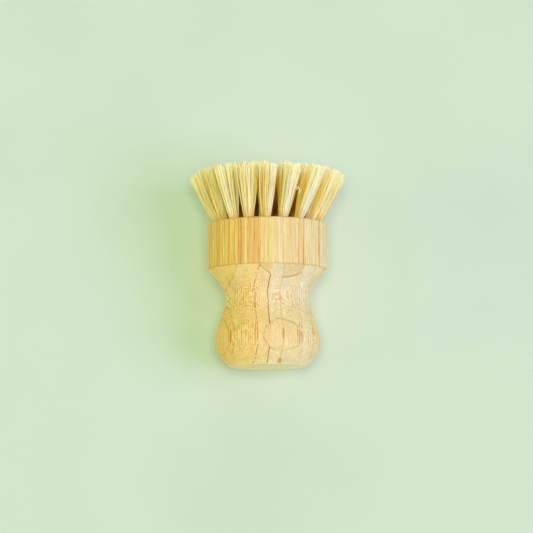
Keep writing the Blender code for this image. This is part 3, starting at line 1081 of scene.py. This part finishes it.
# What hardly shows: the dowel, the glue and the anchors. A tone is (noise, its colour)
BEECH_GRAIN = (1.8, 1.8, 0.12)
BEECH_TONES = ((0.3, (196, 150, 98)), (0.55, (222, 182, 130)), (0.75, (232, 198, 150)))
BEECH_ROUGHNESS = (0.55, 0.7)
BEECH_RELIEF = 0.04 * MM
GLUE_CLOUDS = (0.6, 0.6, 0.6)
GLUE_TONES = ((0.3, (206, 160, 84)), (0.7, (232, 198, 124)))
GLUE_ROUGHNESS = (0.4, 0.6)
STEEL_GRAIN = (8, 0.5, 8)
STEEL_TONES = ((0.3, (150, 150, 148)), (0.7, (196, 196, 192)))
STEEL_ROUGHNESS = (0.28, 0.45)
STEEL_RELIEF = 0.01 * MM


def beech():
    """The dowel's wood, with straight fine grain."""
    shader = Shader("beech_dowel")
    grain = shader.noise(shader.place(), BEECH_GRAIN, 4, 0.6)
    shader.bump(grain, BEECH_RELIEF)
    return shader.finish(shader.ramp(grain, shades(BEECH_TONES)), shader.spread(grain, *BEECH_ROUGHNESS))


def wood_glue():
    """Glue that dried between the handle and the head."""
    shader = Shader("dried_glue")
    clouds = shader.noise(shader.place(), GLUE_CLOUDS, 3)
    return shader.finish(shader.ramp(clouds, shades(GLUE_TONES)), shader.spread(clouds, *GLUE_ROUGHNESS))


def anchor_steel():
    """Flat wire, drawn and cut."""
    shader = Shader("drawn_steel")
    drawn = shader.noise(shader.place(), STEEL_GRAIN, 3)
    colour = shader.ramp(drawn, shades(STEEL_TONES))
    shader.bump(drawn, STEEL_RELIEF)
    return shader.finish(colour, shader.spread(drawn, *STEEL_ROUGHNESS), Metallic=1.0)


# Stage, camera and light

TABLE_GREEN = srgb(198, 218, 198)
TABLE_MOTTLE = (0.02, 0.02, 0.02)
TABLE_TONES = (0.985, 1.015)
# The brush lies on the table with its bulge and its bristle tips
BULGE_HEIGHT = 10.8 * MM
BULGE_REACH = 22.2 * MM
TIPS_HEIGHT = 80.7 * MM
TIPS_REACH = 32.4 * MM
TABLE_SIZE = 0.7
FLOOR_SIZE = 6.0
FLOOR_DROP = 0.2 * MM

CAMERA_DISTANCE = 1400 * MM
CAMERA_BELOW = math.radians(6.75)
CAMERA_ROLL = math.radians(0.17)
AIM = Vector((-0.5, 0, 42.25)) * MM
LENS = 225.4
SENSOR = 36.0

# Soft square lamps: name, place and width in metres, watts and colour. Those behind the table light
# the brush's back and top, and not the table's front
LAMPS = (
    ("front", (0, -1.98, -0.03), 0.6, 17.6, (0.97, 1.0, 0.84)),
    ("key", (2.35, -2.75, -0.25), 2.0, 76.0, (0.74, 0.45, 1.0)),
    ("fill", (-3.0, -1.0, -0.2), 1.6, 21.0, (1.0, 0.76, 0.45)),
    ("back", (0, 1.25, 0.1), 0.6, 5.5, (1, 1, 1)),
    ("top", (0, 0.1, 1.9), 1.0, 17.0, (1.0, 0.9, 0.75)),
    ("high_back", (0, 1.25, 1.7), 0.9, 26.0, (0.7, 0.62, 1.0)),
)
WORLD_LIGHT = (0.76, 1.0, 0.6, 1)
WORLD_STRENGTH = 0.43


def one_sided(name, colour):
    """A matt material that shows only from its front."""
    shader = Shader(name)
    tree = shader.tree
    mottle = shader.noise(shader.place(), TABLE_MOTTLE, 3)
    shader.finish(shader.toned(colour, mottle, *TABLE_TONES), 0.9, Specular_IOR_Level=0.2)
    clear = shader.node("BsdfTransparent")
    behind = shader.node("NewGeometry").outputs["Backfacing"]
    inputs = {0: behind, 1: shader.surface.outputs[0], 2: clear.outputs[0]}
    chosen = shader.node("MixShader", inputs)
    tree.links.new(chosen.outputs[0], tree.nodes["Material Output"].inputs["Surface"])
    return shader.material


def seen_rays(tree):
    """1 for the rays that show a background: the camera's, mirrored ones and ones through glass."""
    rays = tree.nodes.new("ShaderNodeLightPath")
    seen = rays.outputs["Is Camera Ray"]
    for name in ("Is Glossy Ray", "Is Transmission Ray"):
        joined = tree.nodes.new("ShaderNodeMath")
        joined.operation = "MAXIMUM"
        tree.links.new(seen, joined.inputs[0])
        tree.links.new(rays.outputs[name], joined.inputs[1])
        seen = joined.outputs[0]
    return seen


def make_sheet(name, size, material):
    half = size / 2
    corners = [(-half, -half, 0), (half, -half, 0), (half, half, 0), (-half, half, 0)]
    sheet = add_object(name, mesh_from(name, corners, [(0, 1, 2, 3)]))
    sheet.data.materials.append(material)
    return sheet


def make_table():
    """The photographed table top. The brush stands upright here, so the table leans behind it."""
    rise = Vector((0, TIPS_REACH - BULGE_REACH, TIPS_HEIGHT - BULGE_HEIGHT)).normalized()
    side = Vector((1, 0, 0))
    out = side.cross(rise)
    table = make_sheet("table", TABLE_SIZE, one_sided("table_paint", TABLE_GREEN))
    turn = Matrix((side, rise, out)).transposed().to_4x4()
    touching = Vector((0, (BULGE_REACH + TIPS_REACH) / 2, (BULGE_HEIGHT + TIPS_HEIGHT) / 2))
    table.matrix_world = Matrix.Translation(touching) @ turn
    table.visible_shadow = False


def make_floor():
    """A floor for the views from above. Only the camera sees it, so it shades nothing."""
    floor = make_sheet("floor", FLOOR_SIZE, one_sided("floor_paint", TABLE_GREEN))
    floor.location.z = -FLOOR_DROP
    floor.visible_diffuse = False
    floor.visible_glossy = False
    floor.visible_transmission = False
    floor.visible_shadow = False


def make_camera():
    forward = Vector((0, math.cos(CAMERA_BELOW), math.sin(CAMERA_BELOW)))
    right = Vector((1, 0, 0))
    turn = Matrix((right, right.cross(forward), -forward)).transposed().to_4x4()
    data = bpy.data.cameras.new("camera")
    data.lens = LENS
    data.sensor_width = SENSOR
    camera = add_object("camera", data)
    place = Matrix.Translation(AIM - forward * CAMERA_DISTANCE)
    camera.matrix_world = place @ turn @ Matrix.Rotation(-CAMERA_ROLL, 4, "Z")
    bpy.context.scene.camera = camera


def make_lamps():
    """Lamps that face the brush."""
    target = Vector((0, 0, AIM.z))
    for name, place, size, power, colour in LAMPS:
        data = bpy.data.lights.new(name, "AREA")
        data.size = size
        data.energy = power
        data.color = colour
        lamp = add_object(name, data)
        lamp.location = place
        lamp.visible_camera = False
        lamp.rotation_euler = (target - lamp.location).to_track_quat("-Z", "Y").to_euler()


def make_world():
    """Pale green where it is seen or mirrored, and soft even light elsewhere."""
    world = bpy.data.worlds.new("studio")
    bpy.context.scene.world = world
    world.use_nodes = True
    tree = world.node_tree
    light = tree.nodes["Background"]
    light.inputs["Color"].default_value = WORLD_LIGHT
    light.inputs["Strength"].default_value = WORLD_STRENGTH
    shown = tree.nodes.new("ShaderNodeBackground")
    shown.inputs["Color"].default_value = TABLE_GREEN
    chosen = tree.nodes.new("ShaderNodeMixShader")
    tree.links.new(seen_rays(tree), chosen.inputs[0])
    tree.links.new(light.outputs[0], chosen.inputs[1])
    tree.links.new(shown.outputs[0], chosen.inputs[2])
    tree.links.new(chosen.outputs[0], tree.nodes["World Output"].inputs["Surface"])


def dress(pieces, slot, *materials):
    """Gives pieces their materials, and rides them on the brush's one body."""
    for piece in pieces:
        piece.data.materials.clear()
        for material in materials:
            piece.data.materials.append(material)
        # A CAD node that is shown itself has its body from the model and the record
        if "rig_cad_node" not in piece:
            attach(piece, "root")


def main():
    bpy.context.scene.view_settings.view_transform = "Standard"
    make_camera()
    handle = make_handle()
    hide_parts("handle")
    head = make_head()
    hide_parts("head_block")
    steel = anchor_steel()
    dress([handle], "bamboo", bamboo())
    dress([head], "head_bamboo", head_bamboo())
    dress([make_glue_joint()], "head_bamboo", wood_glue())
    dress([*make_tufts(), make_curl()], "plant_fibre", plant_fibre(), steel)
    nodes = frame["nodes"]
    dress([nodes["joining_dowel"]], "beech", beech())
    dress([nodes[name] for name in nodes if name.startswith("anchor")], "anchor_steel", steel)
    make_table()
    make_floor()
    make_lamps()
    make_world()


main()
